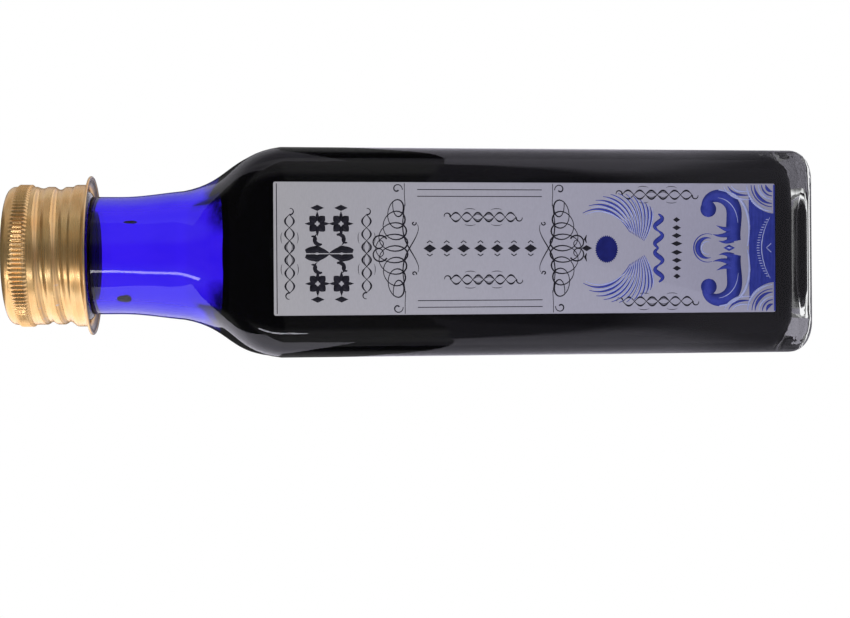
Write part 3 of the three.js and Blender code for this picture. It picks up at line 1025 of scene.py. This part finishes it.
def feed(tree, socket, value):
    """Link another node's output to an input, or set a plain value on it."""
    if isinstance(value, bpy.types.NodeSocket):
        tree.links.new(value, socket)
    else:
        socket.default_value = value


# %% The shared grain group
def make_grain():
    """A group: noise in object coordinates, stretched, as a mask from 0 to 1."""
    tree = bpy.data.node_groups.new("surface_grain", "ShaderNodeTree")
    for name, kind in (("Scale", "Float"), ("Detail", "Float"), ("Low", "Float"), ("High", "Float"),
                       ("Stretch", "Vector")):
        tree.interface.new_socket(name, in_out="INPUT", socket_type="NodeSocket" + kind)
    tree.interface.new_socket("Mask", in_out="OUTPUT", socket_type="NodeSocketFloat")
    given = tree.nodes.new("NodeGroupInput").outputs
    result = tree.nodes.new("NodeGroupOutput")
    place = add_node(tree, "TexCoord")
    stretch = add_node(tree, "VectorMath", operation="MULTIPLY")
    noise = add_node(tree, "TexNoise", {"Roughness": 0.6})
    mask = add_node(tree, "MapRange")
    feed(tree, stretch.inputs[0], place.outputs["Object"])
    feed(tree, stretch.inputs[1], given["Stretch"])
    feed(tree, noise.inputs["Vector"], stretch.outputs["Vector"])
    feed(tree, noise.inputs["Scale"], given["Scale"])
    feed(tree, noise.inputs["Detail"], given["Detail"])
    feed(tree, mask.inputs["Value"], noise.outputs["Fac"])
    feed(tree, mask.inputs["From Min"], given["Low"])
    feed(tree, mask.inputs["From Max"], given["High"])
    feed(tree, result.inputs["Mask"], mask.outputs["Result"])
    return tree


GRAIN = make_grain()


def grain(tree, scale, stretch=(1, 1, 1), low=0.35, high=0.65, detail=4.0):
    """Place the grain group in a material; gives its Mask socket."""
    node = tree.nodes.new("ShaderNodeGroup")
    node.node_tree = GRAIN
    values = {"Scale": scale, "Stretch": stretch, "Low": low, "High": high, "Detail": detail}
    for key, value in values.items():
        node.inputs[key].default_value = value
    return node.outputs["Mask"]


# %% Masks and numbers
def ramp(tree, value, start, end, low=0.0, high=1.0, kind="LINEAR"):
    """Turn a value that goes from start to end into one that goes from low to high."""
    limits = {"From Min": start, "From Max": end, "To Min": low, "To Max": high}
    node = add_node(tree, "MapRange", limits, interpolation_type=kind)
    feed(tree, node.inputs["Value"], value)
    return node.outputs["Result"]


def ranged(tree, mask, low, high):
    """Turn a mask into values from low to high."""
    return ramp(tree, mask, 0.0, 1.0, low, high)


def combine(tree, operation, first, second=0.0):
    """A Math node on two sockets or numbers."""
    node = add_node(tree, "Math", operation=operation)
    feed(tree, node.inputs[0], first)
    feed(tree, node.inputs[1], second)
    return node.outputs["Value"]


def choose(tree, mask, first, second):
    """The first socket or number where a mask is 0, and the second where it is 1."""
    node = add_node(tree, "Mix")
    feed(tree, node.inputs["Factor"], mask)
    feed(tree, node.inputs["A"], first)
    feed(tree, node.inputs["B"], second)
    return node.outputs["Result"]


def axes_of(tree, source="Object"):
    """The X, Y and Z of a texture coordinate."""
    place = add_node(tree, "TexCoord")
    parts = add_node(tree, "SeparateXYZ")
    feed(tree, parts.inputs["Vector"], place.outputs[source])
    return [parts.outputs[axis] for axis in "XYZ"]


def height_ramp(tree, start, end):
    """A mask from 0 at height start to 1 at height end, in metres above the table."""
    return ramp(tree, axes_of(tree)[2], start, end)


def diagonal(tree, x, y):
    """The smaller of |x| and |y|: 0 straight ahead or aside, and largest towards the corners."""
    return combine(tree, "MINIMUM", combine(tree, "ABSOLUTE", x), combine(tree, "ABSOLUTE", y))


# %% Colours, bumps and slots
def blend_colours(tree, mask, dark, light):
    """Mix two colours, or colour sockets, by a mask."""
    node = add_node(tree, "Mix", data_type="RGBA")
    feed(tree, node.inputs["Factor"], mask)
    for socket, colour in ((node.inputs[6], dark), (node.inputs[7], light)):
        feed(tree, socket, (*colour, 1) if isinstance(colour, tuple) else colour)
    return node.outputs[2]


def bump(tree, shader, mask, height, strength=1.0):
    """Raise the surface by a mask, height in metres."""
    node = add_node(tree, "Bump", {"Strength": strength, "Distance": height})
    feed(tree, node.inputs["Height"], mask)
    feed(tree, shader.inputs["Normal"], node.outputs["Normal"])


def new_finish(name, **values):
    """A material with its Principled shader's own sockets set; gives material, tree, shader."""
    material = bpy.data.materials.new(name)
    material.use_nodes = True
    shader = material.node_tree.nodes["Principled BSDF"]
    for key, value in values.items():
        shader.inputs[key.replace("_", " ")].default_value = value
    return material, material.node_tree, shader


def give(piece, material):
    """Put a material in a piece's only slot."""
    piece.data.materials.clear()
    piece.data.materials.append(material)
    print(piece.name, "is", material.name)


# %% [markdown]
# ## Clear glass
# The glass is nearly colourless, glossy and a little wavy from the mould. The four corners of its
# thick base are full of cords, the streaks left where the hot glass was cut and chilled, so the
# bump grows from nothing on the walls to its full height low down in the corners.

# %% Glass finish
CORD_TOP = 9 * MM
CORD_FULL = 4 * MM
CORD_STRENGTH = 8.0

clear_glass, tree, shader = new_finish("clear_glass", Transmission_Weight=1.0, IOR=1.5)
clouds = grain(tree, 1 / (50 * MM), (1, 1, 0.35), 0.3, 0.7)
feed(tree, shader.inputs["Base Color"],
     blend_colours(tree, clouds, (0.985, 0.99, 0.99), (0.965, 0.98, 0.985)))
feed(tree, shader.inputs["Roughness"], ranged(tree, grain(tree, 90), 0.0, 0.03))
waves = grain(tree, 45, detail=1.0, low=0.2, high=0.8)
streaks = grain(tree, 230, (1, 1, 0.3), 0.25, 0.75, 1.5)
cords = combine(tree, "MULTIPLY", streaks, height_ramp(tree, CORD_TOP, CORD_FULL))
cornered = diagonal(tree, *axes_of(tree)[:2])
heavy = ramp(tree, cornered, 0.4 * BODY_HALF, 0.75 * BODY_HALF, 0.0, CORD_STRENGTH)
bump(tree, shader, combine(tree, "ADD", waves, combine(tree, "MULTIPLY", cords, heavy)), 0.12 * MM, 0.6)
give(bottle_glass, clear_glass)

# %% [markdown]
# ## Ink film and ink
# The film above the ink colours the light a strong violet-blue, and more deeply where it is seen
# at a slant and the light goes through more of it. It doesn't bend the light, because it lies
# inside the glass, so its index is 1. Just above the ink it is darker in blotches at the
# sides. The ink itself is so dense that it is a plain dark surface rather than a volume, which
# renders faster and exports well.

# %% Film finish
film_glass, tree, shader = new_finish("blue_film", Transmission_Weight=1.0, IOR=1.0, Roughness=0.0)
runs = grain(tree, 160, (1, 1, 0.35), 0.3, 0.7)
tone = blend_colours(tree, runs, (0.24, 0.14, 0.99), (0.17, 0.08, 0.97))
slant = ramp(tree, add_node(tree, "LayerWeight").outputs["Facing"], 0.22, 0.62)
tone = blend_colours(tree, slant, tone, (0.10, 0.05, 0.70))
# The film is darker in blotches at the sides, just above the ink.
beside = ramp(tree, combine(tree, "ABSOLUTE", axes_of(tree)[0]), 4.5 * MM, 8 * MM)
near_ink = height_ramp(tree, FILL_LEVEL + 4.5 * MM, FILL_LEVEL + 1.5 * MM)
blotches = ranged(tree, grain(tree, 500, low=0.35, high=0.6), 0.4, 1.0)
darker_sides_above_ink = combine(tree, "MULTIPLY", combine(tree, "MULTIPLY", beside, near_ink), blotches)
feed(tree, shader.inputs["Base Color"], blend_colours(tree, darker_sides_above_ink, tone, (0.02, 0.01, 0.12)))
give(ink_film, film_glass)

# %% Ink finish
dark_ink, tree, shader = new_finish("dark_ink", IOR=1.33, Specular_IOR_Level=0.1)
tone = blend_colours(tree, grain(tree, 60), (0.0010, 0.0009, 0.0018), (0.0016, 0.0013, 0.0034))
feed(tree, shader.inputs["Base Color"], tone)
feed(tree, shader.inputs["Roughness"], ranged(tree, grain(tree, 140), 0.04, 0.12))
give(ink_fill, dark_ink)
give(neck_drops, dark_ink)

# %% [markdown]
# ## Gold lacquer
# The cap is bright aluminium under a clear gold lacquer, whose own colour shows a little, so the
# shader is not fully metal. The lacquer is uneven, finely scratched around the cap from being
# turned, and worn through to silver on the rim's curl and the tips of the knurl, which
# Pointiness finds. Faces that look down, under the rim and the step, are darkened with painted
# shade.

# %% Gold lacquer finish
gold, tree, shader = new_finish("gold_lacquer", Metallic=0.85, Coat_Weight=0.2, Coat_Roughness=0.1)
tint = blend_colours(tree, grain(tree, 220), (0.98, 0.57, 0.20), (1.0, 0.67, 0.28))
edges = ramp(tree, add_node(tree, "NewGeometry").outputs["Pointiness"], 0.53, 0.62)
worn = combine(tree, "MULTIPLY", edges, ranged(tree, grain(tree, 400), 0.15, 0.75))
tint = blend_colours(tree, worn, tint, (0.80, 0.74, 0.68))
# Painted shade: faces that look down are darkened, a little unevenly.
underside = ramp(tree, axes_of(tree, "Normal")[2], -0.45, -0.75)
painted_shade_below = combine(tree, "MULTIPLY", underside, ranged(tree, grain(tree, 300), 0.75, 1.0))
feed(tree, shader.inputs["Base Color"], blend_colours(tree, painted_shade_below, tint, (0.06, 0.05, 0.07)))
turning = grain(tree, 500, (0.15, 0.15, 9), 0.3, 0.7, 2.0)
feed(tree, shader.inputs["Roughness"], ranged(tree, turning, 0.22, 0.38))
bump(tree, shader, turning, 0.006 * MM, 0.5)
give(gold_cap, gold)

# %% [markdown]
# ## Foam
# The liner is cut from a sheet of white foam, matt and full of fine cells. The cells are finer
# than any mesh should be, so the grain group draws them as colour and bump.

# %% Foam finish
foam, tree, shader = new_finish("white_foam", Roughness=0.8)
cells = grain(tree, 2600, detail=2.0)
white = blend_colours(tree, cells, (0.78, 0.78, 0.75), (0.90, 0.90, 0.88))
feed(tree, shader.inputs["Base Color"], white)
bump(tree, shader, cells, 0.05 * MM, 0.7)
give(foam_liner, foam)

# %% [markdown]
# ## Paper and print
# The label is silver-grey coated paper with a satin surface and a faint fibre grain. It is a
# neutral grey at the top and slightly bluer towards the foot. The printed inks lie on it with
# less shine, and their colour is a little uneven where the paper took more or less of it.

# %% Paper finish
paper, tree, shader = new_finish("silver_paper", Specular_IOR_Level=0.35)
fade = height_ramp(tree, label_low[2], label_high[2])
tone = blend_colours(tree, fade, (0.42, 0.42, 0.54), (0.48, 0.48, 0.48))
fibre = grain(tree, 1500, (1, 1, 3), detail=5.0)
darker = add_node(tree, "Mix", {"Factor": 0.06}, data_type="RGBA", blend_type="MULTIPLY")
feed(tree, darker.inputs[6], tone)
feed(tree, darker.inputs[7], fibre)
feed(tree, shader.inputs["Base Color"], darker.outputs[2])
feed(tree, shader.inputs["Roughness"], ranged(tree, fibre, 0.34, 0.48))
bump(tree, shader, fibre, 0.004 * MM, 0.4)
give(label_paper, paper)

# %% Printed inks
PRINTS = (
    (black_print, "black_ink_print", (0.008, 0.008, 0.014), (0.016, 0.015, 0.026)),
    (blue_print, "blue_ink_print", (0.030, 0.048, 0.36), (0.042, 0.062, 0.42)),
    (pale_print, "pale_ink_print", (0.42, 0.48, 0.80), (0.50, 0.55, 0.86)),
    (ink_disc, "navy_ink_print", (0.002, 0.006, 0.14), (0.004, 0.010, 0.18)),
)
for piece, name, full, thin in PRINTS:
    material, tree, shader = new_finish(name, Specular_IOR_Level=0.3)
    cover = grain(tree, 900, detail=3.0)
    feed(tree, shader.inputs["Base Color"], blend_colours(tree, cover, full, thin))
    feed(tree, shader.inputs["Roughness"], ranged(tree, cover, 0.4, 0.6))
    give(piece, material)

# %% [markdown]
# ## Riding and replacing
# Glass, ink, drops, paper and print stay with the bottle. The liner rises with its own body and
# the cap turns on it.

# %% Tell the frame what each piece is
RIDES = {
    "bottle": {"glass": [bottle_glass], "ink": [ink_fill, ink_film, neck_drops],
               "label": [label_paper, black_print, blue_print, pale_print, ink_disc]},
    "liner": {"liner": [foam_liner]},
    "cap": {"cap_gold": [gold_cap]},
}
for body, slots in RIDES.items():
    for slot, pieces in slots.items():
        for piece in pieces:
            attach(piece, body)
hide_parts("glass_bottle")
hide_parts("ink")
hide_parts("front_label")
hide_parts("cap_liner")
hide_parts("cap_shell")

# %% [markdown]
# ## Table
# Glass shows what is around it, so the studio is most of its look. The table is plain white for
# the eye. For every other ray it is a glowing sheet whose brightness is painted: what the glass
# mirrors of it is bright at the sides and falls away into the dark towards the camera, which keeps
# the front of the bottle black. What shines up through the thick base is a painted shadow of the
# bottle on the table, with painted light that comes in under the four corners.

# %% Table
TABLE_SIZE = 3.0

start_fresh()
bpy.ops.mesh.primitive_plane_add(size=TABLE_SIZE, location=(0, 0, 0))
table = begin_edit("table")
bpy.ops.mesh.subdivide(number_cuts=4)
bpy.ops.object.mode_set(mode="OBJECT")
report(table)

# %% What each ray sees of the table
SOFT_LIGHT = (0.90, 0.87, 1.0)

pale_table, tree, shader = new_finish("pale_table")
rays = add_node(tree, "LightPath").outputs
x, y, z = axes_of(tree)
aside = combine(tree, "ABSOLUTE", x)
frontness = combine(tree, "ADD", y, combine(tree, "MULTIPLY", aside, 0.6))
# Painted reflection: for glossy rays the table glows dark in front of the bottle and brighter at the
# sides.
lit = ramp(tree, frontness, -0.16, -0.05, 0.05, 0.36, "SMOOTHSTEP")
sides = ramp(tree, aside, 0.03, 0.10, 1.0, 2.6, "SMOOTHSTEP")
mirrored = combine(tree, "MULTIPLY", lit, sides)
# Painted shadow: for rays through the glass and diffuse rays the glow is dimmed around the bottle, with
# painted light under its four corners.
outward = add_node(tree, "VectorMath", operation="LENGTH")
feed(tree, outward.inputs[0], add_node(tree, "TexCoord").outputs["Object"])
painted_shadow = ramp(tree, outward.outputs["Value"], 1.2 * BODY_HALF, 6.0 * BODY_HALF, 0.05, 1.0, "SMOOTHSTEP")
corners = ramp(tree, diagonal(tree, x, y), 0.35 * BODY_HALF, 0.9 * BODY_HALF, 0.0, 0.9)
under = combine(tree, "MAXIMUM", painted_shadow, corners)
through = combine(tree, "MAXIMUM", rays["Is Transmission Ray"], rays["Is Diffuse Ray"])
glow = add_node(tree, "Emission", {"Color": (*SOFT_LIGHT, 1)})
white = add_node(tree, "Emission")
seen = add_node(tree, "MixShader")
feed(tree, glow.inputs["Strength"], choose(tree, through, mirrored, under))
feed(tree, seen.inputs["Fac"], rays["Is Camera Ray"])
feed(tree, seen.inputs[1], glow.outputs["Emission"])
feed(tree, seen.inputs[2], white.outputs["Emission"])
feed(tree, tree.nodes["Material Output"].inputs["Surface"], seen.outputs["Shader"])
give(table, pale_table)

# %% [markdown]
# ## Room and lights
# The backdrop is plain white for the eye. What the glass mirrors is a dark room, softly lit only
# on its diagonals, with two broad panels at the sides and one slim bright strip. Through the
# glass the room is a white screen low down behind the bottle, which lights the blue neck, and dim
# above it.

# %% World
PLAIN_LEVEL = 0.55

world = bpy.data.worlds.new("studio")
world.use_nodes = True
bpy.context.scene.world = world
tree = world.node_tree
rays = add_node(tree, "LightPath").outputs
x, y, z = axes_of(tree, "Generated")
room = ramp(tree, diagonal(tree, x, y), 0.22, 0.50, 0.03, 0.22, "SMOOTHSTEP")
screen = ramp(tree, z, 0.22, 0.34, 1.0, 0.14, "SMOOTHSTEP")
level = PLAIN_LEVEL
# A ray that goes on through glass counts as glossy too, so its turn comes after the glossy one.
for ray, value in (("Is Glossy Ray", room), ("Is Transmission Ray", screen), ("Is Camera Ray", 1.0)):
    level = choose(tree, rays[ray], level, value)
backdrop = tree.nodes["Background"]
feed(tree, backdrop.inputs["Strength"], level)
feed(tree, backdrop.inputs["Color"], (1, 1, 1, 1))
print("the world has", len(tree.nodes), "nodes")

# %% Soft panels
AIM = Vector((0, 0, 0.125))


def panel(name, azimuth, elevation, distance, size, radiance, lean=0):
    """A soft light: azimuth in degrees to the viewer's left of the camera's side, and its lean."""
    turn = math.radians(azimuth)
    lift = math.radians(elevation)
    way = Vector((-math.sin(turn) * math.cos(lift), -math.cos(turn) * math.cos(lift), math.sin(lift)))
    light = bpy.data.lights.new(name, "AREA")
    light.shape = "RECTANGLE"
    light.size, light.size_y = size
    light.color = SOFT_LIGHT
    light.energy = radiance * math.pi * size[0] * size[1]
    lamp = bpy.data.objects.new(name, light)
    bpy.context.scene.collection.objects.link(lamp)
    facing = way.to_track_quat("Z", "Y").to_matrix().to_4x4() @ Matrix.Rotation(math.radians(lean), 4, "Z")
    lamp.matrix_world = Matrix.Translation(AIM + distance * way) @ facing
    lamp.visible_camera = False
    lamp.visible_transmission = False
    print(name, round(light.energy, 2), "watts")


panel("left_panel", 110, 27, 0.55, (1.15, 0.5), 1.35)
panel("right_panel", -108, 27, 0.55, (1.1, 0.5), 0.36)
panel("strip", 37, 25, 0.6, (0.045, 0.44), 8.0, 14)
